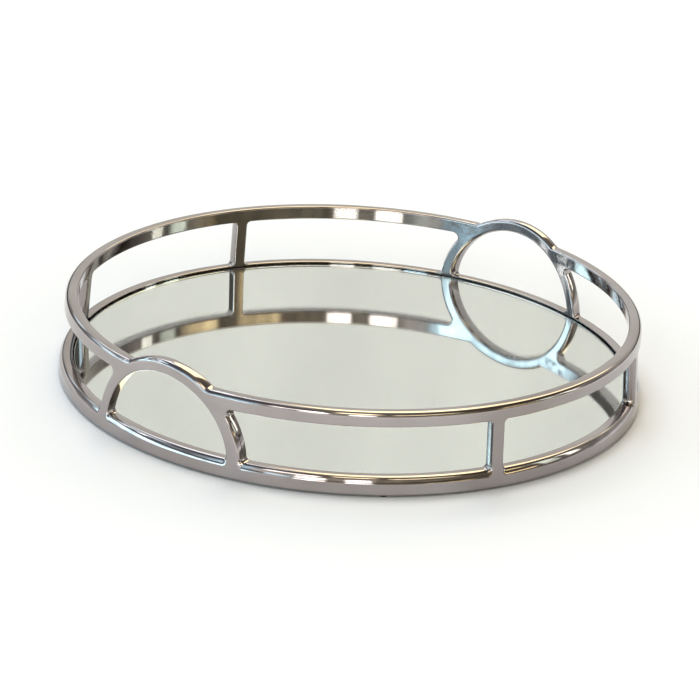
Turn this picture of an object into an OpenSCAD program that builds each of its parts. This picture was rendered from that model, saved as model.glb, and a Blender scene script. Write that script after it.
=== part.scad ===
// Round vanity tray: a polished steel bar frame with two round-arch handles,
// carrying a mirror glass on a backing board.
// Origin: centre of the footprint, on the surface the tray stands on. +Z up.
// The two handles lie on the X axis, so a person carries it by -X and +X.

/* [Frame] */
// Outer radius of the base ring at its lower edge
ring_r = 178; // [150:1:220]
// Outer radius of the top rail at its upper edge
rail_r = 175; // [147:1:217]
// Radial thickness of every bar
bar_t = 7.8; // [6:0.1:9]
// Height of the base ring's bar
ring_h = 11; // [9:0.5:14]
// Height of the top rail's bar
rail_h = 9; // [7:0.5:11]
// Height of the rail's upper face above the table
rail_top = 51; // [44:1:70]

/* [Handles] */
// Radius of the round finger opening
grip_r = 46; // [38:1:52]
// Width of the arch bar, seen square on
arch_w = 8; // [6:0.5:10]
// Height of the arch's centre above the table
grip_z = 6; // [4:0.5:8]

/* [Posts] */
// Width of a post
post_w = 8; // [6:0.5:10]
// Where the four posts stand, in degrees anticlockwise from +X
post_az = [64, 114.5, 247, 294.5]; // [0:0.5:360]

/* [Corner rounding] */
// Rounding of the base ring's upper outer edge
ring_round = 2.4; // [1:0.1:3]
// Rounding of the other long edges
edge_round = 1.1; // [0.6:0.1:1.5]
// Radius of the ground weld fillets
weld_r = 2.4; // [1:0.1:4]

/* [Mirror and base] */
// Thickness of the mirror glass
glass_t = 2; // [2:0.5:4]
// How far the glass lies below the top of the base ring
glass_drop = 1.5; // [0.3:0.1:1.5]
// Gap all round between the glass and the ring
glass_gap = 0.6; // [0.3:0.1:1.2]
// Thickness of the silvering and its back paint
silver_t = 0.2; // [0.1:0.1:0.3]
// Thickness of the double-sided mirror tape
tape_t = 0.8; // [0.5:0.1:1.2]
// Thickness of the backing board
board_t = 4; // [3:0.5:4]
// Thickness of the felt under the board
felt_t = 1; // [0.5:0.1:1.2]
// Number of support lugs
lug_count = 6; // [4:1:8]
// Thickness of a support lug
lug_t = 1.2; // [0.8:0.1:1.2]
// Radial length of a support lug
lug_len = 12; // [10:1:16]
// Width of a support lug
lug_w = 14; // [10:1:20]

/* [Feet] */
// Height of the bumper feet
foot_h = 1; // [0.5:0.1:2]
// Radius of a bumper foot
foot_r = 3; // [2:0.5:3]
// Number of bumper feet
foot_count = 4; // [4:1:8]

/* [Hidden] */
$fn = 96;

big_fn = 180;
ring_top = foot_h + ring_h;
rail_low = rail_top - rail_h;
arch_r = grip_r + arch_w;
apex_z = grip_z + arch_r;
// the wall leans in by this much per millimetre of height
lean = (ring_r - rail_r) / (rail_top - foot_h);
ring_in = ring_r - (ring_top - foot_h) * lean - bar_t;
glass_top = ring_top - glass_drop;
glass_low = glass_top - glass_t;
silver_low = glass_low - silver_t;
tape_low = silver_low - tape_t;
board_low = tape_low - board_t;
lug_low = board_low - lug_t;
glass_r = ring_in - glass_gap;
board_r = ring_in - 0.5;
screw_r = 1.4;
screw_ring = ring_in - 6;

// radius of the outer wall surface at height z
function wall_r(z) = ring_r - (z - foot_h) * lean;

// centre of the circle of radius c tangent to both edges at corner p, and its tangent points
function unit(v) = v / norm(v);
function corner_c(a, p, b, c) = let(u = unit(a - p), v = unit(b - p), h = acos(u * v) / 2)
    p + unit(u + v) * c / sin(h);
function corner_t(a, p, c, b) = let(u = unit(a - p), v = unit(b - p), h = acos(u * v) / 2)
    p + u * c / tan(h);

// outline of a bar section with each corner rounded to its own radius, as points along arcs
function round_corner(a, p, b, c, n) = let(o = corner_c(a, p, b, c),
    t1 = corner_t(a, p, c, b), t2 = corner_t(b, p, c, a),
    a1 = atan2(t1[1] - o[1], t1[0] - o[0]), a2r = atan2(t2[1] - o[1], t2[0] - o[0]),
    d = ((a2r - a1 + 540) % 360) - 180)
    [for (i = [0 : n]) o + c * [cos(a1 + d * i / n), sin(a1 + d * i / n)]];
function round_poly(p, c, n) = [for (i = [0 : len(p) - 1])
    each round_corner(p[(i + len(p) - 1) % len(p)], p[i], p[(i + 1) % len(p)], c[i], n)];

module ring_section() {
    polygon(round_poly([[ring_in, foot_h], [ring_r, foot_h], [wall_r(ring_top), ring_top], [ring_in, ring_top]],
                       [0.6, 1, ring_round, edge_round], 6));
}
module rail_section() {
    polygon(round_poly([[wall_r(rail_low) - bar_t, rail_low], [wall_r(rail_low), rail_low],
                        [rail_r, rail_top], [rail_r - bar_t, rail_top]],
                       [edge_round, edge_round, edge_round, edge_round], 6));
}
module ring_solid() { rotate_extrude($fn = big_fn) ring_section(); }
module rail_solid() { rotate_extrude($fn = big_fn) rail_section(); }

// the thin conical wall that posts and arches are cut from
module wall_shell(z0, z1, out = 0, inn = 0) {
    difference() {
        translate([0, 0, z0]) cylinder(h = z1 - z0, r1 = wall_r(z0) - out, r2 = wall_r(z1) - out, $fn = big_fn);
        translate([0, 0, z0 - 1]) cylinder(h = z1 - z0 + 2, r1 = wall_r(z0 - 1) - bar_t + inn,
                                           r2 = wall_r(z1 + 1) - bar_t + inn, $fn = big_fn);
    }
}
// a bar of radius r along +X from x0 to x1, at the arch centre's height
module x_bar(r, x0, x1) {
    translate([x0, 0, grip_z]) rotate([0, 90, 0]) cylinder(h = x1 - x0, r = r, $fn = 144);
}

module handle() {
    difference() {
        intersection() {
            wall_shell(ring_top - ring_round, apex_z + 1);
            difference() {
                x_bar(arch_r, 140, 190);
                x_bar(grip_r, 138, 192);
            }
        }
        ring_solid();
    }
}

module post(az) {
    difference() {
        intersection() {
            wall_shell(ring_top - ring_round, rail_low + edge_round);
            rotate([0, 0, az]) translate([140, -post_w / 2, 0]) cube([60, post_w, 60]);
        }
        ring_solid();
        rail_solid();
    }
}

module top_rail(side) {
    difference() {
        intersection() {
            rail_solid();
            translate([-200, side > 0 ? 0 : -200, 0]) cube([400, 200, 80]);
        }
        x_bar(arch_r, 140, 190);
        mirror([1, 0, 0]) x_bar(arch_r, 140, 190);
    }
}

module base_ring() { color([0.72, 0.69, 0.67]) ring_solid(); }
module front_top_rail() { color([0.74, 0.71, 0.68]) top_rail(-1); }
module rear_top_rail() { color([0.74, 0.71, 0.68]) top_rail(1); }
module right_handle() { color([0.70, 0.71, 0.74]) handle(); }
module left_handle() { color([0.70, 0.71, 0.74]) mirror([1, 0, 0]) handle(); }
module post_rear_right() { color([0.70, 0.68, 0.64]) post(post_az[0]); }
module post_rear_left() { color([0.70, 0.68, 0.64]) post(post_az[1]); }
module post_front_left() { color([0.70, 0.68, 0.64]) post(post_az[2]); }
module post_front_right() { color([0.70, 0.68, 0.64]) post(post_az[3]); }

// a concave fillet of radius r in the corner between +x and +z, depth along y
module fillet_2d(r) {
    difference() {
        square(r);
        translate([r, r]) circle(r = r, $fn = 48);
    }
}
// the two fillets beside a post, at height z, pointing up (dir 1) or down (dir -1)
module post_fillets(az, z, dir) {
    flat_out = wall_r(z) - (dir > 0 ? ring_round : edge_round) - 0.1;
    flat_in = (dir > 0 ? ring_in : wall_r(z) - bar_t) + edge_round + 0.1;
    for (s = [-1, 1])
        rotate([0, 0, az]) mirror([0, s < 0 ? 1 : 0, 0]) mirror([0, 0, dir < 0 ? 1 : 0])
            translate([flat_in, post_w / 2, dir * z]) rotate([90, 0, 90])
                linear_extrude(flat_out - flat_in - 0.2) fillet_2d(weld_r);
}
module post_foot_welds() {
    color([0.66, 0.64, 0.62]) for (az = post_az) post_fillets(az, ring_top, 1);
}
module post_head_welds() {
    color([0.66, 0.64, 0.62]) for (az = post_az) post_fillets(az, rail_low, -1);
}

// fillet, in the arch's own plane, between a level face at height z and the outside of the arch.
// up: the fillet stands on the level face. f is its radius.
module arch_fillet_2d(z, f, up) {
    cz = up ? z + f : z - f;
    d = arch_r + f;
    cy = sqrt(d * d - (cz - grip_z) * (cz - grip_z));
    touch = atan2(cz - grip_z, cy);
    foot = asin((z - grip_z) / arch_r);
    low = up ? -90 : 90;
    polygon(concat(
        [for (i = [0 : 6]) let(t = low + (up ? touch - 90 : touch + 90) * i / 6) [cy, cz] + f * [cos(t), sin(t)]],
        [for (i = [1 : 4]) let(t = touch + (foot - touch) * i / 4) [0, grip_z] + arch_r * [cos(t), sin(t)]]));
}
module radial_plate(x0, x1) {
    for (sx = [0, 1], sy = [0, 1]) mirror([sx, 0, 0]) mirror([0, sy, 0])
        translate([x0, 0, 0]) rotate([90, 0, 90]) linear_extrude(x1 - x0) children();
}
module handle_foot_welds() {
    color([0.66, 0.64, 0.62]) intersection() {
        wall_shell(ring_top, ring_top + 8, ring_round + 0.3, edge_round + 0.3);
        radial_plate(150, 185) arch_fillet_2d(ring_top, weld_r, true);
    }
}
module rail_end_welds() {
    color([0.66, 0.64, 0.62]) {
        intersection() {
            wall_shell(rail_top, rail_top + 8, edge_round + 0.2, edge_round + 0.2);
            radial_plate(150, 185) arch_fillet_2d(rail_top, 6, true);
        }
        intersection() {
            wall_shell(rail_low - 12, rail_low, edge_round + 0.2, edge_round + 0.2);
            radial_plate(150, 185) arch_fillet_2d(rail_low, 3, false);
        }
    }
}

module lug_at(i) { rotate([0, 0, i * 360 / lug_count + 180 / lug_count]) children(); }
module support_lugs() {
    color([0.60, 0.60, 0.60]) for (i = [0 : lug_count - 1]) lug_at(i)
        difference() {
            intersection() {
                translate([ring_in - lug_len, -lug_w / 2, lug_low]) cube([lug_len + 5, lug_w, lug_t]);
                translate([0, 0, lug_low - 1]) cylinder(h = lug_t + 2, r = ring_in, $fn = big_fn);
            }
            translate([screw_ring, 0, lug_low - 1]) cylinder(h = lug_t + 2, r = screw_r + 0.3, $fn = 32);
        }
}
module lug_welds() {
    bead = 0.8;
    color([0.55, 0.54, 0.52]) for (i = [0 : lug_count - 1]) lug_at(i)
        rotate([0, 0, -1.6]) rotate_extrude(angle = 3.2, $fn = big_fn)
            translate([ring_in, lug_low]) polygon([[0, 0], [-bead, 0], [0, -bead]]);
}
module lug_screws() {
    color([0.78, 0.74, 0.60]) for (i = [0 : lug_count - 1]) lug_at(i)
        translate([screw_ring, 0, 0]) difference() {
            union() {
                translate([0, 0, lug_low]) cylinder(h = lug_t + 3, r = screw_r, $fn = 32);
                translate([0, 0, lug_low - 0.9]) cylinder(h = 0.9, r1 = 2.2, r2 = 2.8, $fn = 48);
            }
            for (a = [0, 90]) rotate([0, 0, a])
                translate([-1.3, -0.25, lug_low - 1.4]) cube([2.6, 0.5, 1]);
        }
}
module backing_board() {
    color([0.62, 0.47, 0.32]) difference() {
        translate([0, 0, board_low]) cylinder(h = board_t, r = board_r, $fn = big_fn);
        for (i = [0 : lug_count - 1]) lug_at(i)
            translate([screw_ring, 0, board_low - 1]) cylinder(h = 4 - (lug_t - 1.2), r = screw_r, $fn = 32);
    }
}
module mirror_tape() {
    color([0.92, 0.92, 0.90]) for (y = [-105, -35, 35, 105])
        translate([-sqrt(150 * 150 - y * y), y - 12.5, tape_low])
            cube([2 * sqrt(150 * 150 - y * y), 25, tape_t]);
}
module mirror_silvering() {
    color([0.80, 0.82, 0.80]) translate([0, 0, silver_low]) cylinder(h = silver_t, r = glass_r, $fn = big_fn);
}
module mirror_glass() {
    arris = 0.5;
    color([0.78, 0.88, 0.84, 0.5]) rotate_extrude($fn = big_fn)
        polygon([[0, glass_low], [glass_r - arris, glass_low], [glass_r, glass_low + arris],
                 [glass_r, glass_top - arris], [glass_r - arris, glass_top], [0, glass_top]]);
}
module underside_felt() {
    color([0.10, 0.10, 0.11]) translate([0, 0, board_low - felt_t])
        cylinder(h = felt_t, r = ring_in - lug_len - 5, $fn = big_fn);
}
module bumper_feet() {
    color([0.12, 0.12, 0.12]) for (i = [0 : foot_count - 1]) rotate([0, 0, 45 + i * 360 / foot_count])
        translate([(ring_in + ring_r) / 2 - 0.2, 0, 0])
            cylinder(h = foot_h, r1 = foot_r - 0.3, r2 = foot_r, $fn = 48);
}

base_ring();
front_top_rail();
rear_top_rail();
left_handle();
right_handle();
post_rear_right();
post_rear_left();
post_front_left();
post_front_right();
post_foot_welds();
post_head_welds();
handle_foot_welds();
rail_end_welds();
support_lugs();
lug_welds();
lug_screws();
backing_board();
mirror_tape();
mirror_silvering();
mirror_glass();
underside_felt();
bumper_feet();
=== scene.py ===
import math

import bpy
import numpy as np
from mathutils import Matrix, Vector
from mathutils.geometry import delaunay_2d_cdt


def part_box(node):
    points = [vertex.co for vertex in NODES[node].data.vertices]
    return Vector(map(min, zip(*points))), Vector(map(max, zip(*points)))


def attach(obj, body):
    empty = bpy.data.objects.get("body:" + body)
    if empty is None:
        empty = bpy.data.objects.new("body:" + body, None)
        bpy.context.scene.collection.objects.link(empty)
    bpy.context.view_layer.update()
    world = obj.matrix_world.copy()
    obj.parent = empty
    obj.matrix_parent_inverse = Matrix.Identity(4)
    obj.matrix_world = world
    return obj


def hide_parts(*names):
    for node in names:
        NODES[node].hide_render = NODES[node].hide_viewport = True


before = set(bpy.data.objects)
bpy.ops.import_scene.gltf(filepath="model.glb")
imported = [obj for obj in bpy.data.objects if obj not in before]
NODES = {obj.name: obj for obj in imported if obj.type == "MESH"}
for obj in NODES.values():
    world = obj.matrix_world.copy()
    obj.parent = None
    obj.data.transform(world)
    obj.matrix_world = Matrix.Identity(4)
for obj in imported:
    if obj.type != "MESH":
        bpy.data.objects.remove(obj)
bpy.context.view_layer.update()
SC = bpy.context.scene
COLL = SC.collection
MM = 0.001

# ----------------------------------------------------------------- the wall
# The welded frame is a pattern of bars cut from one conical wall. A point of it is
# (phic, t, z): t is measured straight along the chord at azimuth phic, so the bar
# sides of the handles and posts stay parallel through the wall.
CONE = 0.06
ALPHA = math.atan(CONE)
RING_IN = 169.54
BAR = 7.8
Z_RING, Z_RAIL0, Z_RAIL1 = 12.0, 42.0, 51.0
ARC_C, ARC_I, ARC_O = 6.0, 46.0, 54.0
POST_H = 4.0
PHI_HANDLE = {"right": 0.0, "left": math.pi}
PHI_POST = {"rear_right": math.radians(64), "rear_left": math.radians(114.5),
            "front_left": math.radians(247), "front_right": math.radians(294.5)}


def r_out(z):
    return 178.0 - CONE * (z - 1.0)


def r_in(z):
    return np.where(z <= Z_RING, RING_IN, r_out(z) - BAR)


def smooth(a, b, x):
    u = np.clip((x - a) / (b - a), 0.0, 1.0)
    return u * u * (3 - 2 * u)


N_ARC = 8      # steps in a rounded edge
CROWN = math.radians(8.0)      # buffing leaves every narrow face slightly crowned: its tilt at each side


# The ring's upper outer edge is ground to a soft bevel: the tilt of its surface in degrees, and the length of each step.
BEVEL_T = (0, 17, 21, 25, 29, 36, 52, 68, 82)
BEVEL_L = (0.45, 0.85, 0.85, 0.85, 0.5, 0.5, 0.5, 0.45)
BEVEL_H, BEVEL_D = [0.0], [0.0]
for q in range(8):
    tm = math.radians((BEVEL_T[q] + BEVEL_T[q + 1]) / 2)
    BEVEL_H.append(BEVEL_H[-1] + BEVEL_L[q] * math.cos(tm))
    BEVEL_D.append(BEVEL_D[-1] + BEVEL_L[q] * math.sin(tm))
BEVEL_H = [BEVEL_H[-1] - v for v in BEVEL_H]


class Chain:
    """An edge of the pattern, walked with the metal on its left as seen from outside."""

    def __init__(self):
        self.p, self.n, self.c = [], [], []

    def add(self, phic, t, z, nt, nz, co, ci):
        if self.p:
            q = self.p[-1]
            a = q[0] + math.asin(q[1] / 175.0)
            b = phic + math.asin(t / 175.0)
            if abs((b - a) * 175.0) < 1e-4 and abs(z - q[2]) < 1e-4:
                return
        self.p.append((phic, t, z))
        self.n.append((nt, nz))
        self.c.append((co, ci))

    def arc(self, phic, ct, cz, r, a0, a1, step, sign, co, ci, co1=None, ci1=None):
        """An arc from angle a0 to a1. sign is +1 where the metal is outside the circle, -1 where inside."""
        n = max(3, int(math.ceil(abs(a1 - a0) * r / step)))
        for k in range(n + 1):
            u = k / n
            a = a0 + (a1 - a0) * u
            s = u * u * (3 - 2 * u)
            o = co if co1 is None else co + (co1 - co) * s
            i = ci if ci1 is None else ci + (ci1 - ci) * s
            self.add(phic, ct + r * math.cos(a), cz + r * math.sin(a),
                     sign * math.cos(a), sign * math.sin(a), o, i)

    def level(self, pa, ta, pb, tb, z, nz, co, ci, step=2.2, fade=9.0):
        """Along a horizontal edge from (pa, ta) to (pb, tb), leaving and reaching the chord directions softly."""
        R = 175.0
        a = pa + math.asin(ta / R)
        b = pb + math.asin(tb / R)
        length = abs(b - a) * R
        n = max(2, int(math.ceil(length / step)))
        f = min(fade, length * 0.45)
        for k in range(n + 1):
            u = k / n
            phi = a + (b - a) * u
            s = u * length
            t = ta * (1 - float(smooth(0, f, s))) + tb * float(smooth(length - f, length, s))
            self.add(phi - math.asin(t / R), t, z, 0.0, nz, co, ci)

    def line(self, phic, t0, z0, t1, z1, nt, nz, co, ci, step=2.2):
        length = math.hypot(t1 - t0, z1 - z0)
        n = max(1, int(math.ceil(length / step)))
        for k in range(n + 1):
            u = k / n
            self.add(phic, t0 + (t1 - t0) * u, z0 + (z1 - z0) * u, nt, nz, co, ci)

    def build(self):
        """Positions [i][j] in millimetres and normals for the swept profile, j from the outer face to the inner one."""
        P, N, C = np.array(self.p), np.array(self.n), np.array(self.c)
        phic, t, z = P[:, 0], P[:, 1], P[:, 2]
        co, ci = C[:, 0], C[:, 1]
        et = np.stack([-np.sin(phic), np.cos(phic), np.zeros_like(phic)], 1)
        ez = np.array([0.0, 0.0, 1.0])
        O = -(N[:, :1] * et + N[:, 1:] * ez)
        pos, nor = [], []

        def place(off, R_of):
            tt, zz = t + N[:, 0] * off, z + N[:, 1] * off
            R = R_of(zz)
            ph = phic + np.arcsin(tt / R)
            return np.stack([R * np.cos(ph), R * np.sin(ph), zz], 1), ph, zz

        sc, cc = math.sin(CROWN), math.cos(CROWN)
        m = smooth(C_TOP, C_RING, co)
        d_end = co * (1 - sc) * (1 - m) + BEVEL_D[-1] * m
        half = ((r_out(z) - r_in(z)) - d_end - ci * (1 - sc)) / 2
        rc = half / sc
        e0 = rc * (1 - cc)
        for k in range(N_ARC + 1):
            th = math.radians(90 - BEVEL_T[k])
            dep = co * (1 - math.sin(th)) * (1 - m) + BEVEL_D[k] * m
            low = co * (cc - math.cos(th)) * (1 - m) + BEVEL_H[k] * m
            x, ph, zz = place(e0 + low, lambda q: r_out(q) - dep)
            pos.append(x)
            nor.append(math.sin(th) * n_out(ph) + math.cos(th) * O)
        for u in (0.5, 0.0, -0.5):
            th = CROWN * u
            x, ph, zz = place(rc * (1 - math.cos(th)),
                              lambda q: (r_out(q) - d_end + r_in(q) + ci * (1 - sc)) / 2 + rc * math.sin(th))
            pos.append(x)
            nor.append(math.sin(th) * n_out(ph) + math.cos(th) * O)
        for k in range(N_ARC + 1):
            th = CROWN + (math.pi / 2 - CROWN) * k / N_ARC
            dep = ci * (1 - math.sin(th))
            x, ph, zz = place(e0 + ci * (cc - math.cos(th)), lambda q: r_in(q) + dep)
            pos.append(x)
            nor.append(math.sin(th) * n_in(ph, zz) + math.cos(th) * O)
        pos = np.stack(pos, 1)
        nor = np.stack(nor, 1)
        nor /= np.linalg.norm(nor, axis=2, keepdims=True)
        return pos, nor


def n_out(ph):
    return np.stack([np.cos(ph) * math.cos(ALPHA), np.sin(ph) * math.cos(ALPHA),
                     np.full_like(ph, math.sin(ALPHA))], 1)


def n_in(ph, z):
    a = ALPHA * smooth(10.0, 14.0, z)
    return -np.stack([np.cos(ph) * np.cos(a), np.sin(ph) * np.cos(a), np.sin(a)], 1)


def piece_mesh(name, chains, caps, closed_ring=None):
    """chains: built chains in order round the piece. caps: pairs (i, j), a flat hidden cut from the end of chain i to the start of chain j.
    closed_ring: index of a chain that closes on itself (the ring's bottom edge)."""
    verts, vnor, cols = [], [], []
    base = 0
    for ch in chains:
        pos, nor = ch
        m, r = pos.shape[:2]
        idx = np.arange(base, base + m * r).reshape(m, r)
        verts.append(pos.reshape(-1, 3))
        vnor.append(nor.reshape(-1, 3))
        cols.append(idx)
        base += m * r
    verts = np.concatenate(verts)
    vnor = np.concatenate(vnor)
    faces, lnor = [], []

    def quad(a, b, c, d, nn=None):
        faces.append((int(a), int(b), int(c), int(d)))
        for v in (a, b, c, d):
            lnor.append(tuple(vnor[v]) if nn is None else nn)

    for k, idx in enumerate(cols):
        m, r = idx.shape
        rng = range(m) if k == closed_ring else range(m - 1)
        for i in rng:
            i1 = (i + 1) % m
            for j in range(r - 1):
                quad(idx[i, j], idx[i, j + 1], idx[i1, j + 1], idx[i1, j])
    for a, b in caps:
        A, B = cols[a][-1], cols[b][0]
        va, vb, vc = verts[A[0]], verts[A[-1]], verts[B[0]]
        nn = np.cross(vb - va, vc - va)
        nn /= np.linalg.norm(nn)
        nn = tuple(nn)
        for j in range(len(A) - 1):
            quad(A[j], A[j + 1], B[j + 1], B[j], nn)

    def fill(j, inner):
        loops = []
        for k, idx in enumerate(cols):
            loops.append([int(v) for v in idx[:, j]])
        if closed_ring is None:
            order = []
            for lp in loops:
                order += lp
            faces2 = cdt(order, inner)
        else:
            bottom = loops[closed_ring]
            top = []
            for k, lp in enumerate(loops):
                if k != closed_ring:
                    top += lp
            faces2 = cdt_ring(bottom, top)
        for f in faces2:
            f = f[::-1] if inner else f
            faces.append(f)
            for v in f:
                lnor.append(tuple(vnor[v]))

    def flat(v, ref=None):
        x, y, z = verts[v]
        ph = math.atan2(y, x)
        if ref is not None:
            while ph < ref - math.pi:
                ph += 2 * math.pi
            while ph > ref + math.pi:
                ph -= 2 * math.pi
        return ph, z

    def cdt(order, inner):
        pts, ref = [], None
        for v in order:
            ph, z = flat(v, ref)
            ref = ph
            pts.append((ph * 175.0, z))
        return run_cdt(pts, order)

    def cdt_ring(bottom, top):
        # the strip is cut at the azimuth of top[0] and the two cut sides share their vertices
        ph0, _ = flat(top[0])
        tp, ref = [], ph0
        for v in top:
            ph, z = flat(v, ref)
            ref = ph
            tp.append((ph * 175.0, z))
        d = [abs(math.remainder(flat(v)[0] - ph0, 2 * math.pi)) for v in bottom]
        s = int(np.argmin(d))
        bt_idx = bottom[s:] + bottom[:s]
        going = 1 if math.remainder(flat(bt_idx[1])[0] - flat(bt_idx[0])[0], 2 * math.pi) > 0 else -1
        if going < 0:
            bt_idx = [bt_idx[0]] + bt_idx[:0:-1]
        bp, ref = [], ph0
        for v in bt_idx:
            ph, z = flat(v, ref)
            if ph < ref - 1e-9 and v != bt_idx[0]:
                ph += 2 * math.pi
            ref = ph
            bp.append((ph * 175.0, z))
        # top runs against bottom: bottom goes with rising azimuth, top with falling
        tgoing = 1 if tp[1][0] > tp[0][0] else -1
        if tgoing > 0:
            top2, tp2 = top, tp
        else:
            top2 = [top[0]] + top[:0:-1]
            tp2 = [tp[0]] + [(x + 2 * math.pi * 175.0, z) for x, z in tp[:0:-1]]
        full = 2 * math.pi * 175.0
        # close both rows at the far end
        brow = bt_idx + [bt_idx[0]]
        bpts = bp + [(bp[0][0] + full, bp[0][1])]
        trow = top2 + [top2[0]]
        tpts = tp2 + [(tp2[0][0] + full, tp2[0][1])]
        order = brow + trow[::-1]
        pts = bpts + tpts[::-1]
        return run_cdt(pts, order)

    def run_cdt(pts, order):
        n = len(pts)
        edges = [(i, (i + 1) % n) for i in range(n)]
        vs, es, fs, ov, oe, of = delaunay_2d_cdt([Vector(p) for p in pts], edges, [list(range(n))], 1, 1e-7)
        if len(vs) != n:
            raise RuntimeError(f"{name}: the fill made {len(vs)} points of {n}")
        back = [order[ov[i][0]] for i in range(len(vs))]
        out = []
        for f in fs:
            a, b, c = (vs[i] for i in f)
            area = (b[0] - a[0]) * (c[1] - a[1]) - (b[1] - a[1]) * (c[0] - a[0])
            g = tuple(back[i] for i in f)
            if len(set(g)) < 3:
                continue
            out.append(g if area > 0 else g[::-1])
        return out

    fill(0, False)
    fill(cols[0].shape[1] - 1, True)
    me = bpy.data.meshes.new(name)
    me.from_pydata((verts * MM).tolist(), [], faces)
    me.polygons.foreach_set("use_smooth", [True] * len(me.polygons))
    me.update()
    me.normals_split_custom_set(lnor)
    ob = bpy.data.objects.new(name, me)
    COLL.objects.link(ob)
    return ob


# ------------------------------------------------------------- the pattern
C_IN = 1.1        # inner edges
C_SIDE = 1.2      # outer edges of the posts
C_DOOR = 1.3      # outer edge round a handle opening
C_TOP = 2.7       # outer top edge of the rails and handles
C_RING = 3.6      # outer top edge of the ring
C_LIP = 0.35      # the ring's top edge beside the mirror
C_GRIP_L, C_GRIP_R = 1.2, 2.1      # inner edges of the two handles
C_LOW = 1.0       # outer lower edges
FOOT_F = 2.4      # ground weld at a post foot and head
ARCH_F = 2.4      # outside foot of a handle
DOOR_F = 2.0      # inside corners of a handle opening
RAIL_UP, RAIL_DN = 6.0, 3.0
Z_CUT0, Z_CUT1 = 16.5, 38.0
A_CUT = math.radians(13.5)       # where a handle's leg is cut from the ring's stub
Y_CUT = 50.0                     # where a rail is cut from the handle's stub


def grip(phic):
    return C_GRIP_L if math.cos(phic) < 0 else C_GRIP_R


def lower_gap_ring(kind_a, pa, kind_b, pb):
    """Ring-top edge of one gap, walked with the metal on the left: from the stub at pb (higher azimuth) to the stub at pa.
    Metal below, so it runs with falling azimuth."""
    ch = Chain()
    if kind_b == "post":
        # down the post's low-azimuth side, at t = -4
        ch.line(pb, -POST_H, Z_CUT0, -POST_H, Z_RING + FOOT_F, 1, 0, C_SIDE, C_IN)
        ch.arc(pb, -POST_H - FOOT_F, Z_RING + FOOT_F, FOOT_F, 0.0, -math.pi / 2, 0.6, 1, C_SIDE, C_IN, C_RING, C_LIP)
        tb = -POST_H - FOOT_F
    else:
        tb = down_leg(ch, pb, -1)
    if kind_a == "post":
        ta = POST_H + FOOT_F
    else:
        ta = leg_foot_t()
    ch.level(pb, tb, pa, ta, Z_RING, -1, C_RING, C_LIP)
    if kind_a == "post":
        ch.arc(pa, POST_H + FOOT_F, Z_RING + FOOT_F, FOOT_F, -math.pi / 2, -math.pi, 0.6, 1, C_RING, C_LIP, C_SIDE, C_IN)
        ch.line(pa, POST_H, Z_RING + FOOT_F, POST_H, Z_CUT0, -1, 0, C_SIDE, C_IN)
    else:
        up_leg(ch, pa, 1)
    return ch


def leg_foot_t():
    return math.sqrt((ARC_O + ARCH_F) ** 2 - (Z_RING + ARCH_F - ARC_C) ** 2)


def leg_foot_angle():
    return math.asin((Z_RING + ARCH_F - ARC_C) / (ARC_O + ARCH_F))


C_ARCH = 1.6      # outer face's edge on the handle's outside


def down_leg(ch, phic, side):
    """Down the outside of a handle's leg on its side (t < 0 for side -1) to the ring's top."""
    th = leg_foot_angle()
    tf = leg_foot_t()
    if side < 0:
        ch.arc(phic, 0, ARC_C, ARC_O, math.pi - A_CUT, math.pi - th, 1.0, -1, C_ARCH, grip(phic))
        ch.arc(phic, -tf, Z_RING + ARCH_F, ARCH_F, -th, -math.pi / 2, 0.5, 1, C_ARCH, grip(phic), C_RING, C_LIP)
        return -tf
    raise ValueError


def up_leg(ch, phic, side):
    th = leg_foot_angle()
    tf = leg_foot_t()
    ch.arc(phic, tf, Z_RING + ARCH_F, ARCH_F, -math.pi / 2, -math.pi + th, 0.5, 1, C_RING, C_LIP, C_ARCH, grip(phic))
    ch.arc(phic, 0, ARC_C, ARC_O, th, A_CUT, 1.0, -1, C_ARCH, grip(phic))


def door_low(phic):
    """The ring's top edge inside a handle opening, from the high side leg stub to the low side one."""
    ch = Chain()
    cz = Z_RING + DOOR_F
    ct = math.sqrt((ARC_I - DOOR_F) ** 2 - (cz - ARC_C) ** 2)
    a = math.asin((cz - ARC_C) / (ARC_I - DOOR_F))
    ch.arc(phic, 0, ARC_C, ARC_I, A_CUT, a, 1.0, 1, C_DOOR, grip(phic))
    ch.arc(phic, ct, cz, DOOR_F, a, -math.pi / 2, 0.5, 1, C_DOOR, grip(phic), C_RING, C_LIP)
    ch.line(phic, ct, Z_RING, -ct, Z_RING, 0, -1, C_RING, C_LIP)
    ch.arc(phic, -ct, cz, DOOR_F, -math.pi / 2, -math.pi - a, 0.5, 1, C_RING, C_LIP, C_DOOR, grip(phic))
    ch.arc(phic, 0, ARC_C, ARC_I, math.pi - a, math.pi - A_CUT, 1.0, 1, C_DOOR, grip(phic))
    return ch


two = 2 * math.pi
stations = [("arch", 0.0), ("post", PHI_POST["rear_right"]), ("post", PHI_POST["rear_left"]), ("arch", math.pi),
            ("post", PHI_POST["front_left"]), ("post", PHI_POST["front_right"]), ("arch", two)]

# base ring: its top edge is walked with falling azimuth, so the metal is on the left
ring_chains = []
for k in range(6, 0, -1):
    kb, pb = stations[k]
    ka, pa = stations[k - 1]
    ring_chains.append(lower_gap_ring(ka, pa, kb, pb).build())
    if ka == "arch":
        ring_chains.append(door_low(pa).build())
n_top = len(ring_chains)
bottom = Chain()
NB = 520
for k in range(NB):
    ph = k * two / NB
    bottom.p.append((ph, 0.0, 1.0))
    bottom.n.append((0.0, 1.0))
    bottom.c.append((1.0, 0.6))
ring_chains.append(bottom.build())
caps = [(k, (k + 1) % n_top) for k in range(n_top)]
ring = piece_mesh("welded_base_ring", ring_chains, caps, closed_ring=n_top)


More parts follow.
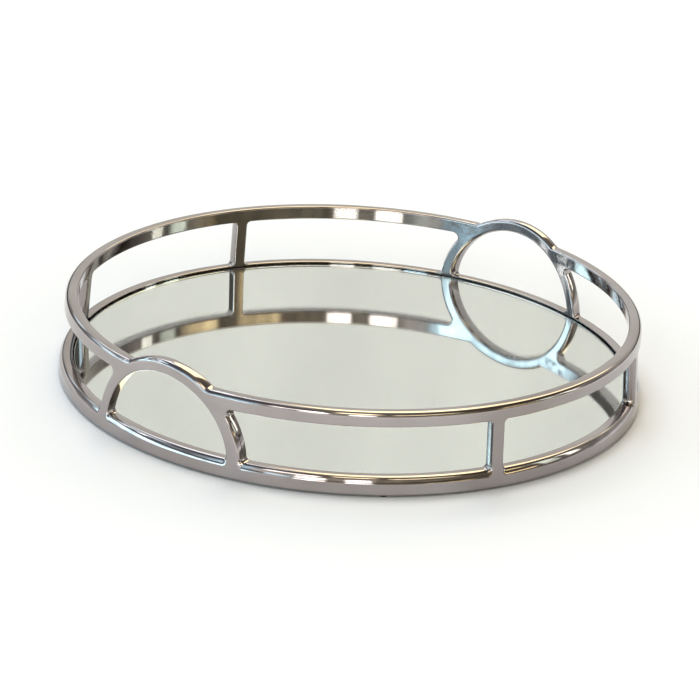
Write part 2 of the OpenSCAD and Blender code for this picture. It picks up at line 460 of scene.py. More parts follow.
def rail_piece(name, pa, pb, posts):
    """A rail from the handle at azimuth pa to the one at pb (higher), with its stubs over the posts."""
    chains = []
    top = Chain()
    top.level(pb, -Y_CUT, pa, Y_CUT, Z_RAIL1, -1, C_TOP, C_IN)
    chains.append(top.build())
    prev, tprev = pa, Y_CUT
    for k, p in enumerate(posts + [None]):
        ch = Chain()
        if k > 0:
            q = posts[k - 1]
            ch.line(q, POST_H, Z_CUT1, POST_H, Z_RAIL0 - FOOT_F, -1, 0, C_SIDE, C_IN)
            ch.arc(q, POST_H + FOOT_F, Z_RAIL0 - FOOT_F, FOOT_F, math.pi, math.pi / 2, 0.6, 1, C_SIDE, C_IN, C_LOW, C_IN)
            start = (q, POST_H + FOOT_F)
        else:
            start = (pa, Y_CUT)
        if p is not None:
            end = (p, -POST_H - FOOT_F)
        else:
            end = (pb, -Y_CUT)
        ch.level(start[0], start[1], end[0], end[1], Z_RAIL0, 1, C_LOW, C_IN)
        if p is not None:
            ch.arc(p, -POST_H - FOOT_F, Z_RAIL0 - FOOT_F, FOOT_F, math.pi / 2, 0.0, 0.6, 1, C_LOW, C_IN, C_SIDE, C_IN)
            ch.line(p, -POST_H, Z_RAIL0 - FOOT_F, -POST_H, Z_CUT1, 1, 0, C_SIDE, C_IN)
        chains.append(ch.build())
    n = len(chains)
    return piece_mesh(name, chains, [(k, (k + 1) % n) for k in range(n)])


rear_rail = rail_piece("welded_rear_rail", 0.0, math.pi, [PHI_POST["rear_right"], PHI_POST["rear_left"]])
front_rail = rail_piece("welded_front_rail", math.pi, two, [PHI_POST["front_left"], PHI_POST["front_right"]])


def handle_piece(name, phic):
    chains = []
    # over the top, with falling t: from the high side rail stub to the low side one
    zc = Z_RAIL1 + RAIL_UP
    tc = math.sqrt((ARC_O + RAIL_UP) ** 2 - (zc - ARC_C) ** 2)
    a = math.atan2(zc - ARC_C, tc)
    top = Chain()
    top.line(phic, Y_CUT, Z_RAIL1, tc, Z_RAIL1, 0, -1, C_TOP, C_IN)
    top.arc(phic, tc, zc, RAIL_UP, -math.pi / 2, -math.pi + a, 0.5, 1, C_TOP, C_IN, C_TOP, grip(phic))
    top.arc(phic, 0, ARC_C, ARC_O, a, math.pi - a, 1.2, -1, C_TOP, grip(phic))
    top.arc(phic, -tc, zc, RAIL_UP, -a, -math.pi / 2, 0.5, 1, C_TOP, grip(phic), C_TOP, C_IN)
    top.line(phic, -tc, Z_RAIL1, -Y_CUT, Z_RAIL1, 0, -1, C_TOP, C_IN)
    chains.append(top.build())
    # low side: under the rail stub and down the outside to the leg's cut
    zd = Z_RAIL0 - RAIL_DN
    td = math.sqrt((ARC_O + RAIL_DN) ** 2 - (zd - ARC_C) ** 2)
    b = math.atan2(zd - ARC_C, td)
    low = Chain()
    low.line(phic, -Y_CUT, Z_RAIL0, -td, Z_RAIL0, 0, 1, C_LOW, C_IN)
    low.arc(phic, -td, zd, RAIL_DN, math.pi / 2, -b, 0.5, 1, C_LOW, C_IN, C_ARCH, grip(phic))
    low.arc(phic, 0, ARC_C, ARC_O, math.pi - b, math.pi - A_CUT, 1.2, -1, C_ARCH, grip(phic))
    chains.append(low.build())
    door = Chain()
    door.arc(phic, 0, ARC_C, ARC_I, math.pi - A_CUT, A_CUT, 1.2, 1, C_DOOR, grip(phic))
    chains.append(door.build())
    high = Chain()
    high.arc(phic, 0, ARC_C, ARC_O, A_CUT, b, 1.2, -1, C_ARCH, grip(phic))
    high.arc(phic, td, zd, RAIL_DN, math.pi + b, math.pi / 2, 0.5, 1, C_ARCH, grip(phic), C_LOW, C_IN)
    high.line(phic, td, Z_RAIL0, Y_CUT, Z_RAIL0, 0, 1, C_LOW, C_IN)
    chains.append(high.build())
    return piece_mesh(name, chains, [(0, 1), (1, 2), (2, 3), (3, 0)])


left_handle = handle_piece("arched_left_handle", math.pi)
right_handle = handle_piece("arched_right_handle", 0.0)


def post_piece(name, phic):
    a, b = Chain(), Chain()
    a.line(phic, POST_H, Z_CUT0, POST_H, Z_CUT1, -1, 0, C_SIDE, C_IN, 2.6)
    b.line(phic, -POST_H, Z_CUT1, -POST_H, Z_CUT0, 1, 0, C_SIDE, C_IN, 2.6)
    return piece_mesh(name, [a.build(), b.build()], [(0, 1), (1, 0)])


posts = {k: post_piece("post_" + k + "_bar", v) for k, v in PHI_POST.items()}




# ---------------------------------------------------------------- materials
def new_mat(name):
    m = bpy.data.materials.new(name)
    m.use_nodes = True
    m.node_tree.nodes.clear()
    return m, m.node_tree.nodes, m.node_tree.links


def bsdf(nodes, links):
    b = nodes.new("ShaderNodeBsdfPrincipled")
    o = nodes.new("ShaderNodeOutputMaterial")
    links.new(b.outputs["BSDF"], o.inputs["Surface"])
    return b


def noise(nodes, links, coord, scale, detail=2.0, rough=0.5, stretch=None, dist=0.0):
    n = nodes.new("ShaderNodeTexNoise")
    n.inputs["Scale"].default_value = scale
    n.inputs["Detail"].default_value = detail
    n.inputs["Roughness"].default_value = rough
    n.inputs["Distortion"].default_value = dist
    if stretch is not None:
        mp = nodes.new("ShaderNodeMapping")
        mp.inputs["Scale"].default_value = stretch
        links.new(coord, mp.inputs["Vector"])
        coord = mp.outputs["Vector"]
    links.new(coord, n.inputs["Vector"])
    return n.outputs["Fac"]


def ramp(nodes, links, fac, stops, interp="LINEAR"):
    r = nodes.new("ShaderNodeValToRGB")
    r.color_ramp.interpolation = interp
    e = r.color_ramp.elements
    while len(e) > 1:
        e.remove(e[-1])
    e[0].position = stops[0][0]
    e[0].color = (*stops[0][1], 1) if len(stops[0][1]) == 3 else stops[0][1]
    for p, c in stops[1:]:
        x = e.new(p)
        x.color = (*c, 1) if len(c) == 3 else c
    links.new(fac, r.inputs["Fac"])
    return r.outputs["Color"]


def grey(v):
    return (v, v, v)


def maprange(nodes, links, fac, a, b, c, d):
    m = nodes.new("ShaderNodeMapRange")
    m.inputs["From Min"].default_value = a
    m.inputs["From Max"].default_value = b
    m.inputs["To Min"].default_value = c
    m.inputs["To Max"].default_value = d
    links.new(fac, m.inputs["Value"])
    return m.outputs["Result"]


def bump(nodes, links, height, strength, distance, normal=None):
    b = nodes.new("ShaderNodeBump")
    b.inputs["Strength"].default_value = strength
    b.inputs["Distance"].default_value = distance
    links.new(height, b.inputs["Height"])
    if normal is not None:
        links.new(normal, b.inputs["Normal"])
    return b.outputs["Normal"]


def polished(name, lo, hi, r0, r1, wave=0.00006, wave_scale=16.0, fine=0.0000045, weld=0.00022):
    """Buffed plated steel: a low wave left by grinding, faint hand polishing lines, slightly cloudy gloss."""
    m, nodes, links = new_mat(name)
    b = bsdf(nodes, links)
    co = nodes.new("ShaderNodeTexCoord").outputs["Object"]
    cloud = noise(nodes, links, co, 38.0, 4.0, 0.6)
    tint = noise(nodes, links, co, 11.0, 2.0, 0.5)
    both = nodes.new("ShaderNodeMath")
    both.operation = "MULTIPLY_ADD"
    links.new(cloud, both.inputs[0])
    both.inputs[1].default_value = 0.22
    links.new(tint, both.inputs[2])
    links.new(ramp(nodes, links, both.outputs[0], [(0.42, lo), (0.80, hi)]), b.inputs["Base Color"])
    b.inputs["Metallic"].default_value = 1.0
    fine_n = noise(nodes, links, co, 900.0, 3.0, 0.6, stretch=(1.0, 1.0, 6.0))
    mix = nodes.new("ShaderNodeMath")
    mix.operation = "MULTIPLY_ADD"
    links.new(fine_n, mix.inputs[0])
    mix.inputs[1].default_value = 0.4
    links.new(cloud, mix.inputs[2])
    links.new(maprange(nodes, links, mix.outputs[0], 0.4, 0.95, r0, r1), b.inputs["Roughness"])
    n0 = bump(nodes, links, noise(nodes, links, co, wave_scale, 1.0, 0.4), 1.0, wave)
    n1 = bump(nodes, links, noise(nodes, links, co, wave_scale * 4.5, 2.0, 0.5), 1.0, wave * 0.35, n0)
    # ground welds, a little lumpy, where the rails meet the handles
    sp = nodes.new("ShaderNodeSeparateXYZ")
    links.new(co, sp.inputs[0])
    ab = []
    for k in (0, 1):
        q = nodes.new("ShaderNodeMath")
        q.operation = "ABSOLUTE"
        links.new(sp.outputs[k], q.inputs[0])
        ab.append(q.outputs[0])
    parts = [maprange(nodes, links, ab[0], 0.150, 0.160, 0.0, 1.0), maprange(nodes, links, sp.outputs[2], 0.036, 0.043, 0.0, 1.0),
             maprange(nodes, links, ab[1], 0.028, 0.034, 0.0, 1.0), maprange(nodes, links, ab[1], 0.052, 0.046, 0.0, 1.0),
             noise(nodes, links, co, 105.0, 1.5, 0.45)]
    h = parts[0]
    for q in parts[1:]:
        mu = nodes.new("ShaderNodeMath")
        mu.operation = "MULTIPLY"
        links.new(h, mu.inputs[0])
        links.new(q, mu.inputs[1])
        h = mu.outputs[0]
    n2 = bump(nodes, links, fine_n, 1.0, fine, bump(nodes, links, h, 1.0, weld, n1))
    links.new(n2, b.inputs["Normal"])
    return m


METAL_LO, METAL_HI = (0.300, 0.263, 0.250), (0.415, 0.384, 0.384)
metal = polished("polished_metal", METAL_LO, METAL_HI, 0.035, 0.075)


# ------------------------------------------------------------------- camera
CAM_AZ, CAM_EL, CAM_ROLL, CAM_D = math.radians(217.29), math.radians(22.33), math.radians(3.58), 2.1463
cam_data = bpy.data.cameras.new("camera")
cam = bpy.data.objects.new("camera", cam_data)
COLL.objects.link(cam)
back = Vector((math.cos(CAM_EL) * math.cos(CAM_AZ), math.cos(CAM_EL) * math.sin(CAM_AZ), math.sin(CAM_EL)))
right = Vector((0, 0, 1)).cross(back).normalized()
up = back.cross(right)
r2 = right * math.cos(CAM_ROLL) + up * math.sin(CAM_ROLL)
u2 = -right * math.sin(CAM_ROLL) + up * math.cos(CAM_ROLL)
rot = Matrix((r2, u2, back)).transposed()
cam.matrix_world = Matrix.Translation(Vector((0, 0, 0.001)) + back * CAM_D) @ rot.to_4x4()
cam_data.lens = 180.0
cam_data.sensor_width = 36.0
cam_data.shift_x = (350.0 - 349.46) / 700.0
cam_data.shift_y = (376.16 - 350.0) / 700.0
cam_data.clip_start, cam_data.clip_end = 0.05, 200.0
SC.camera = cam
SC.view_settings.view_transform = "Standard"
SC.view_settings.look = "None"

# -------------------------------------------------------------------- world
class W:
    """A plain studio: pale all round at the horizon, a pale wall across from the camera, a dimmer side with
    windows and warm lamps behind it. b is the bearing from the camera's side in degrees, e the height above the horizon."""

    def __init__(self):
        w = bpy.data.worlds.new("studio")
        SC.world = w
        w.use_nodes = True
        self.t = w.node_tree
        self.t.nodes.clear()
        tc = self.t.nodes.new("ShaderNodeTexCoord")
        sp = self.t.nodes.new("ShaderNodeSeparateXYZ")
        nv = self.t.nodes.new("ShaderNodeVectorMath")
        nv.operation = "NORMALIZE"
        self.t.links.new(tc.outputs["Generated"], nv.inputs[0])
        rt = self.t.nodes.new("ShaderNodeVectorRotate")
        rt.rotation_type = "Z_AXIS"
        rt.inputs["Angle"].default_value = -CAM_AZ
        self.t.links.new(nv.outputs[0], rt.inputs["Vector"])
        self.t.links.new(rt.outputs[0], sp.inputs[0])
        self.dir = nv.outputs[0]
        x, y, z = sp.outputs
        self.b = self.m("MULTIPLY", self.m("ARCTAN2", y, x), 180 / math.pi)
        self.e = self.m("MULTIPLY", self.m("ARCSINE", z), 180 / math.pi)

    def m(self, op, a, b=None):
        n = self.t.nodes.new("ShaderNodeMath")
        n.operation = op
        for k, v in enumerate((a, b)):
            if v is None:
                continue
            if isinstance(v, (int, float)):
                n.inputs[k].default_value = v
            else:
                self.t.links.new(v, n.inputs[k])
        return n.outputs[0]

    def step(self, v, a, b):
        n = self.t.nodes.new("ShaderNodeMapRange")
        n.interpolation_type = "SMOOTHSTEP"
        n.inputs["From Min"].default_value = a
        n.inputs["From Max"].default_value = b
        n.inputs["To Min"].default_value = 0.0
        n.inputs["To Max"].default_value = 1.0
        self.t.links.new(v, n.inputs["Value"])
        return n.outputs["Result"]

    def mix(self, f, a, b):
        n = self.t.nodes.new("ShaderNodeMix")
        n.data_type = "RGBA"
        n.clamp_factor = True
        if isinstance(f, (int, float)):
            n.inputs[0].default_value = f
        else:
            self.t.links.new(f, n.inputs[0])
        for k, v in ((6, a), (7, b)):
            if isinstance(v, tuple):
                n.inputs[k].default_value = (*v, 1)
            else:
                self.t.links.new(v, n.inputs[k])
        return n.outputs[2]

    def ring(self, stops, scale):
        """Colour against bearing, from -180 to 180."""
        f = self.m("ADD", self.m("MULTIPLY", self.b, 1 / 360), 0.5)
        r = self.t.nodes.new("ShaderNodeValToRGB")
        e = r.color_ramp.elements
        while len(e) > 1:
            e.remove(e[-1])
        for k, (p, c) in enumerate(stops):
            x = e[0] if k == 0 else e.new((p + 180) / 360)
            x.position = (p + 180) / 360
            x.color = (*[v / scale for v in c], 1)
        self.t.links.new(f, r.inputs["Fac"])
        g = self.t.nodes.new("ShaderNodeVectorMath")
        g.operation = "SCALE"
        g.inputs["Scale"].default_value = scale
        self.t.links.new(r.outputs["Color"], g.inputs[0])
        return g.outputs[0]

    def patch(self, col, b0, b1, e0, e1, c, sb=1.5, se=1.5, k=1.0):
        f = self.m("MULTIPLY", self.step(self.b, b0 - sb, b0 + sb), self.step(self.b, b1 + sb, b1 - sb))
        g = self.m("MULTIPLY", self.step(self.e, e0 - se, e0 + se), self.step(self.e, e1 + se, e1 - se))
        f = self.m("MULTIPLY", f, g)
        if k != 1.0:
            f = self.m("MULTIPLY", f, k)
        return self.mix(f, col, c)

    def clutter(self, col):
        """Uneven light: a cluttered room on the camera's side, faint upright folds across from it."""
        rough = self.t.nodes.new("ShaderNodeTexNoise")
        rough.inputs["Scale"].default_value = 8.0
        rough.inputs["Detail"].default_value = 4.0
        rough.inputs["Roughness"].default_value = 0.62
        self.t.links.new(self.dir, rough.inputs["Vector"])
        mp = self.t.nodes.new("ShaderNodeMapping")
        mp.inputs["Scale"].default_value = (1.0, 1.0, 0.1)
        self.t.links.new(self.dir, mp.inputs["Vector"])
        fold = self.t.nodes.new("ShaderNodeTexNoise")
        fold.inputs["Scale"].default_value = 34.0
        fold.inputs["Detail"].default_value = 3.0
        self.t.links.new(mp.outputs["Vector"], fold.inputs["Vector"])
        vals = []
        for n, a, b in ((rough, 0.55, 1.5), (fold, 0.955, 1.045)):
            r = self.t.nodes.new("ShaderNodeMapRange")
            r.inputs["From Min"].default_value = 0.33
            r.inputs["From Max"].default_value = 0.67
            r.inputs["To Min"].default_value = a
            r.inputs["To Max"].default_value = b
            self.t.links.new(n.outputs["Fac"], r.inputs["Value"])
            vals.append(r.outputs["Result"])
        far = self.step(self.m("ABSOLUTE", self.b), 128.0, 152.0)
        k = self.m("ADD", self.m("MULTIPLY", vals[0], self.m("SUBTRACT", 1.0, far)), self.m("MULTIPLY", vals[1], far))
        g = self.t.nodes.new("ShaderNodeVectorMath")
        g.operation = "SCALE"
        self.t.links.new(col, g.inputs[0])
        self.t.links.new(k, g.inputs["Scale"])
        return g.outputs[0]


w = W()
# the room between 26 and 34 degrees up, by bearing, with a pale wall across from the camera
band = w.ring([(-180, (0.965, 0.950, 0.885)), (-172, (0.91, 0.90, 0.84)), (-150, (0.74, 0.74, 0.70)), (-128, (0.66, 0.70, 0.73)),
               (-112, (0.52, 0.60, 0.68)), (-80, (0.44, 0.54, 0.64)), (-60, (0.55, 0.67, 0.78)), (-40, (0.96, 1.04, 1.08)),
               (-28, (0.93, 0.90, 0.82)), (-20, (0.80, 0.78, 0.70)), (8, (0.78, 0.74, 0.62)), (14, (0.52, 0.47, 0.36)),
               (34, (0.31, 0.275, 0.20)), (64, (0.25, 0.215, 0.15)), (80, (0.47, 0.44, 0.36)), (104, (0.57, 0.54, 0.47)),
               (116, (0.40, 0.36, 0.33)), (134, (0.62, 0.59, 0.52)), (156, (0.78, 0.76, 0.68)), (174, (0.955, 0.940, 0.875)),
               (180, (0.965, 0.950, 0.885))], 1.2)
# below it, down to the far edge of the floor
low = w.ring([(-180, (0.86, 0.84, 0.76)), (-160, (0.70, 0.70, 0.66)), (-146, (0.42, 0.41, 0.41)), (-122, (0.30, 0.30, 0.31)),
              (-100, (0.62, 0.68, 0.74)), (-62, (0.85, 0.95, 1.04)), (-38, (1.00, 1.10, 1.14)), (-25, (0.95, 0.93, 0.88)),
              (-8, (0.75, 0.70, 0.60)), (10, (0.50, 0.44, 0.34)), (30, (0.42, 0.35, 0.255)), (60, (0.28, 0.24, 0.18)),
              (92, (0.27, 0.25, 0.22)), (118, (0.44, 0.42, 0.39)), (142, (0.66, 0.64, 0.58)), (160, (0.82, 0.80, 0.73)),
              (180, (0.86, 0.84, 0.76))], 1.2)
high = w.ring([(-180, (0.42, 0.39, 0.34)), (-150, (0.30, 0.30, 0.31)), (-110, (0.17, 0.18, 0.21)), (-60, (0.15, 0.155, 0.18)),
               (-25, (0.24, 0.225, 0.21)), (0, (0.26, 0.225, 0.165)), (40, (0.17, 0.14, 0.10)), (80, (0.13, 0.11, 0.09)),
               (125, (0.16, 0.14, 0.115)), (155, (0.32, 0.285, 0.23)), (180, (0.42, 0.39, 0.34))], 1.0)
DIM = (0.115, 0.105, 0.085)
LOW = (0.84, 0.845, 0.85)
col = w.mix(w.step(w.e, 15.5, 18.5), low, band)
col = w.mix(w.step(w.e, 34.0, 42.0), col, high)
col = w.mix(w.step(w.e, 64.0, 84.0), col, (0.34, 0.325, 0.29))
col = w.mix(w.step(w.e, 5.0, 3.6), col, LOW)
# a dark shelf line round the camera's side
col = w.patch(col, -92, 124, 18.4, 24.8, DIM, 6.0, 0.7, 0.86)
col = w.patch(col, -160, -92, 18.4, 22.4, DIM, 6.0, 0.5, 0.86)
# windows behind the camera, strip lamps over it and a lamp across the room
col = w.patch(col, -30.5, -20, 19.5, 25.5, (1.3, 1.8, 2.1), 1.0, 0.8)
col = w.patch(col, -19, -7, 12.5, 33, (6.2, 6.2, 6.0), 0.7, 0.8)
col = w.patch(col, 1, 11, 12.5, 33, (6.2, 6.2, 6.0), 0.7, 0.8)
col = w.patch(col, -20, 12, 18.5, 24, (0.30, 0.28, 0.22), 1.5, 0.8, 0.72)
col = w.patch(col, -34, -10, 37, 47, (4.6, 4.4, 4.2), 1.5, 1.5)
col = w.patch(col, -56, -38, 25.5, 42, (0.9, 1.35, 1.65), 2.0, 2.0)
col = w.patch(col, -112, -34, 8, 17.7, (2.6, 3.7, 4.2), 3.0, 0.6)
col = w.patch(col, -104, -99, 25, 32, (4.0, 4.2, 4.4), 0.7, 1.0)
col = w.patch(col, -92, -87, 25, 32, (4.0, 4.2, 4.4), 0.7, 1.0)
col = w.patch(col, -124, -88, 40, 47, (2.9, 3.5, 3.9), 2.5, 1.5)
col = w.patch(col, -122, -110, 22.8, 27, (2.3, 3.2, 3.5), 1.2, 0.4)
col = w.patch(col, -131, -123.5, 22.8, 30, (1.5, 2.1, 2.5), 1.0, 0.4)
col = w.patch(col, -142, -133, 22.8, 30, (0.22, 0.25, 0.30), 1.0, 0.4)
col = w.patch(col, -156, -144, 22.8, 29, (1.7, 2.2, 2.5), 1.0, 0.4)
col = w.patch(col, 82, 90, 12.5, 31, (2.1, 2.4, 2.1), 1.0, 1.2)
col = w.patch(col, 95, 101, 12.5, 31, (3.8, 3.9, 3.5), 0.7, 1.2)
col = w.patch(col, 66, 76, 26.5, 31, (2.6, 2.1, 1.1), 1.2, 0.8)
col = w.patch(col, 60, 78, 13, 15.8, (3.6, 3.0, 1.7), 1.2, 0.7)
col = w.patch(col, 32, 50, 13.5, 15.5, (2.4, 2.0, 1.15), 2.0, 0.7)
col = w.patch(col, 22, 52, 41, 52, (3.0, 2.6, 1.75), 2.5, 1.5)
col = w.patch(col, -6, 18, 52, 72, (4.4, 3.8, 2.6), 2.5, 2.5)
col = w.patch(col, 150, 190, 32, 60, (4.3, 3.75, 2.45), 2.0, 2.0)
col = w.patch(col, -190, -177.5, 32, 60, (4.3, 3.75, 2.45), 0.8, 2.0)
col = w.patch(col, -174.5, -148, 34, 60, (2.9, 3.1, 3.3), 0.8, 1.5)
col = w.patch(col, -168, -138, 2, 14, (0.10, 0.11, 0.15), 4.0, 1.5)
col = w.patch(col, 138, 168, 2, 14, (0.17, 0.15, 0.12), 4.0, 1.5)
col = w.clutter(col)
bg = w.t.nodes.new("ShaderNodeBackground")
wo = w.t.nodes.new("ShaderNodeOutputWorld")
w.t.links.new(col, bg.inputs["Color"])
# the studio's lamps and walls light the tray; seen directly, the room is only a plain pale backdrop
plain = w.t.nodes.new("ShaderNodeBackground")
plain.inputs["Color"].default_value = (0.955, 0.960, 0.975, 1.0)
pick = w.t.nodes.new("ShaderNodeMixShader")
w.t.links.new(w.t.nodes.new("ShaderNodeLightPath").outputs["Is Camera Ray"], pick.inputs[0])
w.t.links.new(bg.outputs[0], pick.inputs[1])
w.t.links.new(plain.outputs[0], pick.inputs[2])
w.t.links.new(pick.outputs[0], wo.inputs["Surface"])


def area(name, loc, target, size, power, colour, spread=math.pi):
    d = bpy.data.lights.new(name, "AREA")
    d.shape = "RECTANGLE"
    d.size, d.size_y = size
    d.energy = power
    d.color = colour
    d.spread = spread
    o = bpy.data.objects.new(name, d)
    COLL.objects.link(o)
    v = Vector(loc)
    o.matrix_world = Matrix.Translation(v) @ (v - Vector(target)).to_track_quat("Z", "Y").to_matrix().to_4x4()
    return o


sun = bpy.data.lights.new("soft_overhead", "SUN")
sun.angle = math.radians(44)
sun.energy = 1.6
sun.color = (0.96, 0.98, 1.0)
so = bpy.data.objects.new("soft_overhead", sun)
COLL.objects.link(so)
so.visible_glossy = False
so.matrix_world = Vector((0.25, 0.55, 1.6)).to_track_quat("Z", "Y").to_matrix().to_4x4()

# -------------------------------------------------------------------- floor
fm, nodes, links = new_mat("pale_floor_painted_shade")
b = bsdf(nodes, links)
co = nodes.new("ShaderNodeTexCoord").outputs["Object"]
fn = noise(nodes, links, co, 60.0, 5.0, 0.6)
fr = nodes.new("ShaderNodeVectorMath")
fr.operation = "LENGTH"
links.new(co, fr.inputs[0])
fa = nodes.new("ShaderNodeMath")
fa.operation = "MULTIPLY_ADD"
fa.inputs[1].default_value = 0.02
links.new(fn, fa.inputs[0])
links.new(fr.outputs["Value"], fa.inputs[2])
# painted shade: the floor's colour is painted darker within about 0.2 to 0.5 m of the tray's centre, a painted soft
# shadow round the tray that also darkens what the tray's outer faces reflect; further out the floor is an even pale
links.new(ramp(nodes, links, maprange(nodes, links, fa.outputs[0], 0.0, 1.4, 0.0, 1.0),
               [(0.15, (0.690, 0.698, 0.722)), (0.38, (0.955, 0.958, 0.975))], "EASE"), b.inputs["Base Color"])
b.inputs["Roughness"].default_value = 0.7
b.inputs["Specular IOR Level"].default_value = 0.15
links.new(bump(nodes, links, fn, 0.4, 0.0002), b.inputs["Normal"])
me = bpy.data.meshes.new("floor")
n = 96
fv, ff = [(0, 0, 0)], []
for rr in (0.3, 0.8, 2.0, 6.0, 16.0):
    for k in range(n):
        a = two * k / n
        fv.append((rr * math.cos(a), rr * math.sin(a), 0))
for k in range(n):
    ff.append((0, 1 + k, 1 + (k + 1) % n))
for q in range(4):
    for k in range(n):
        i, j = 1 + q * n + k, 1 + q * n + (k + 1) % n
        ff.append((i, i + n, j + n, j))
me.from_pydata(fv, [], ff)
me.materials.append(fm)
floor = bpy.data.objects.new("floor", me)
COLL.objects.link(floor)

# ------------------------------------------------------------ mirror, glass
gm, nodes, links = new_mat("clear_glass")
b = bsdf(nodes, links)
b.inputs["Base Color"].default_value = (0.955, 0.972, 0.955, 1)
b.inputs["Transmission Weight"].default_value = 1.0
b.inputs["IOR"].default_value = 1.5
co = nodes.new("ShaderNodeTexCoord").outputs["Object"]
gn = noise(nodes, links, co, 70.0, 6.0, 0.7)
links.new(maprange(nodes, links, gn, 0.5, 0.8, 0.0, 0.006), b.inputs["Roughness"])
links.new(bump(nodes, links, noise(nodes, links, co, 5.0, 1.0, 0.4), 1.0, 0.00002), b.inputs["Normal"])

sm, nodes, links = new_mat("silvering")
b = bsdf(nodes, links)
b.inputs["Metallic"].default_value = 1.0
co = nodes.new("ShaderNodeTexCoord").outputs["Object"]
sn = noise(nodes, links, co, 45.0, 5.0, 0.65)
links.new(ramp(nodes, links, sn, [(0.3, (0.725, 0.740, 0.730)), (0.7, (0.750, 0.762, 0.754))]), b.inputs["Base Color"])
links.new(maprange(nodes, links, sn, 0.3, 0.8, 0.012, 0.03), b.inputs["Roughness"])



def turned(name, prof, mat, node, slot, n=220, phase=0.0):
    """A round piece turned from a closed profile of (radius, height) in millimetres; a radius of 0 ends it on the axis."""
    bm_v, bm_f = [], []
    rows = []
    for r, z in prof:
        if r < 1e-9:
            rows.append([len(bm_v)])
            bm_v.append((0, 0, z * MM))
        else:
            rows.append(list(range(len(bm_v), len(bm_v) + n)))
            for k in range(n):
                a = two * k / n + phase
                bm_v.append((r * MM * math.cos(a), r * MM * math.sin(a), z * MM))
    for p, q in zip(rows, rows[1:]):
        for k in range(n):
            k1 = (k + 1) % n
            if len(p) == 1:
                bm_f.append((p[0], q[k1], q[k]))
            elif len(q) == 1:
                bm_f.append((p[k], p[k1], q[0]))
            else:
                bm_f.append((p[k], p[k1], q[k1], q[k]))
    me = bpy.data.meshes.new(name)
    me.from_pydata(bm_v, [], bm_f)
    me.polygons.foreach_set("use_smooth", [True] * len(me.polygons))
    me.update()
    # flats keep their own normal; a rounded edge turns smoothly between them
    seg = []
    for p, q in zip(prof, prof[1:]):
        d = (q[0] - p[0], q[1] - p[1])
        ln = math.hypot(*d)
        seg.append((d[1] / ln, -d[0] / ln, ln))
    pn = []
    for k in range(len(prof)):
        a, c = seg[max(k - 1, 0)], seg[min(k, len(seg) - 1)]
        if a[2] > 3 * c[2]:
            v = a
        elif c[2] > 3 * a[2]:
            v = c
        else:
            v = (a[0] + c[0], a[1] + c[1])
        h = math.hypot(v[0], v[1])
        pn.append((v[0] / h, v[1] / h))
    lut = []
    for k, (r, z) in enumerate(prof):
        if r < 1e-9:
            lut.append((0.0, 0.0, pn[k][1]))
        else:
            for i in range(n):
                a = two * i / n + phase
                lut.append((pn[k][0] * math.cos(a), pn[k][0] * math.sin(a), pn[k][1]))
    me.normals_split_custom_set([lut[v] for f in bm_f for v in f])
    ob = bpy.data.objects.new(name, me)
    COLL.objects.link(ob)
    me.materials.append(mat)
    return ob


def arris(r, z0, z1, c0, c1, k=3):
    """Profile of a disc with rounded edges, from the centre of the underside to the centre of the top."""
    out = [(0, z0), (r * 0.5, z0), (r - c0, z0)]
    for i in range(1, k + 1):
        a = math.pi / 2 * i / k
        out.append((r - c0 + c0 * math.sin(a), z0 + c0 - c0 * math.cos(a)))
    for i in range(k + 1):
        a = math.pi / 2 * i / k
        out.append((r - c1 + c1 * math.cos(a), z1 - c1 + c1 * math.sin(a)))
    out += [(r * 0.5, z1), (0, z1)]
    clean = [out[0]]
    for q in out[1:]:
        if math.hypot(q[0] - clean[-1][0], q[1] - clean[-1][1]) > 1e-6:
            clean.append(q)
    return clean


glo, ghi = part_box("mirror_glass")
slo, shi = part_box("mirror_silvering")
GR = (ghi.x - glo.x) / 2 / MM
glass = turned("mirror_glass_plate", arris(GR, glo.z / MM + 0.02, ghi.z / MM, 0.3, 0.5), gm, None, None)
silver = turned("mirror_silver_coat", arris(GR - 0.04, slo.z / MM + 0.02, shi.z / MM, 0.05, 0.05, 2), sm, None, None)
for o, nn, sl in ((glass, "mirror_glass", "clear_glass"), (silver, "mirror_silvering", "silvering")):
    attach(o, "root")
    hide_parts(nn)

# ------------------------------------------------------------- underneath
def fibre(name, c0, c1, scale, rough, depth, stretch=None):
    m, nodes, links = new_mat(name)
    b = bsdf(nodes, links)
    co = nodes.new("ShaderNodeTexCoord").outputs["Object"]
    n = noise(nodes, links, co, scale, 5.0, 0.65, stretch)
    n2 = noise(nodes, links, co, scale * 0.08, 3.0, 0.5)
    mix = nodes.new("ShaderNodeMath")
    mix.operation = "MULTIPLY_ADD"
    links.new(n2, mix.inputs[0])
    mix.inputs[1].default_value = 0.5
    links.new(n, mix.inputs[2])
    links.new(ramp(nodes, links, mix.outputs[0], [(0.45, c0), (1.0, c1)]), b.inputs["Base Color"])
    links.new(maprange(nodes, links, n, 0.2, 0.8, rough - 0.1, rough + 0.1), b.inputs["Roughness"])
    links.new(bump(nodes, links, n, 1.0, depth), b.inputs["Normal"])
    return m


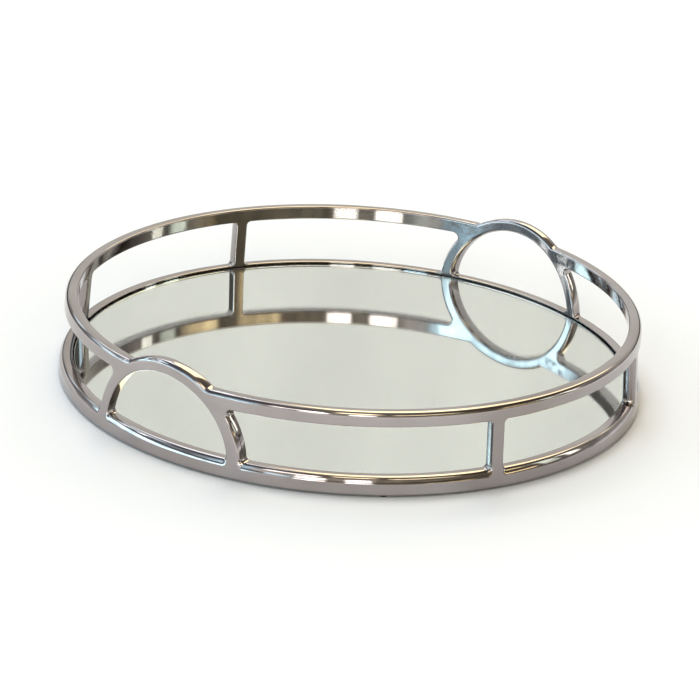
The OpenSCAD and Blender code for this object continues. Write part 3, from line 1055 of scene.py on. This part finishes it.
board_m = fibre("hardboard", (0.20, 0.115, 0.055), (0.36, 0.225, 0.12), 420.0, 0.72, 0.00012)
tape_m = fibre("foam_tape", (0.70, 0.70, 0.67), (0.86, 0.86, 0.83), 700.0, 0.8, 0.00006)
felt_m = fibre("black_felt", (0.012, 0.012, 0.013), (0.055, 0.055, 0.06), 1500.0, 0.88, 0.00035)
rubber_m = fibre("black_rubber", (0.015, 0.015, 0.015), (0.035, 0.035, 0.034), 500.0, 0.55, 0.00003)
inner_m = polished("plain_steel", (0.36, 0.34, 0.33), (0.46, 0.44, 0.42), 0.22, 0.42, 0.00002, 60.0, 0.00002, 0.0)
screw_m = polished("zinc_plate", (0.50, 0.47, 0.36), (0.60, 0.56, 0.42), 0.18, 0.34, 0.00001, 120.0, 0.00001, 0.0)
for nn, mm in (("backing_board", board_m), ("mirror_tape", tape_m), ("support_lugs", inner_m), ("lug_welds", inner_m),
               ("lug_screws", screw_m)):
    me = NODES[nn].data
    if not me.materials:
        me.materials.append(mm)
    for k in range(len(me.materials)):
        me.materials[k] = mm

lo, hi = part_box("underside_felt")
felt = turned("felt_disc", arris(hi.x / MM, lo.z / MM, hi.z / MM - 0.02, 0.45, 0.1), felt_m, None, None)
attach(felt, "root")
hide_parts("underside_felt")
lo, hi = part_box("bumper_feet")
fr_ = (RING_IN + 178.0) / 2 - 0.2
for k in range(4):
    foot = turned(f"bumper_foot_{k + 1}", arris(3.0, 0.0, hi.z / MM - 0.01, 0.7, 0.02), rubber_m, None, None, n=40)
    a = math.radians(45 + 90 * k)
    foot.location = (fr_ * MM * math.cos(a), fr_ * MM * math.sin(a), 0)
    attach(foot, "root")
    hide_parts("bumper_feet")

FRAME_PARTS = [(ring, ("base_ring", "post_foot_welds", "handle_foot_welds")),
               (rear_rail, ("rear_top_rail", "post_head_welds")),
               (front_rail, ("front_top_rail", "post_head_welds")),
               (left_handle, ("left_handle", "rail_end_welds")),
               (right_handle, ("right_handle", "rail_end_welds"))]
FRAME_PARTS += [(posts[k], ("post_" + k,)) for k in posts]
for o, ns in FRAME_PARTS:
    o.data.materials.append(metal)
    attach(o, "root")
    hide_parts(*ns)
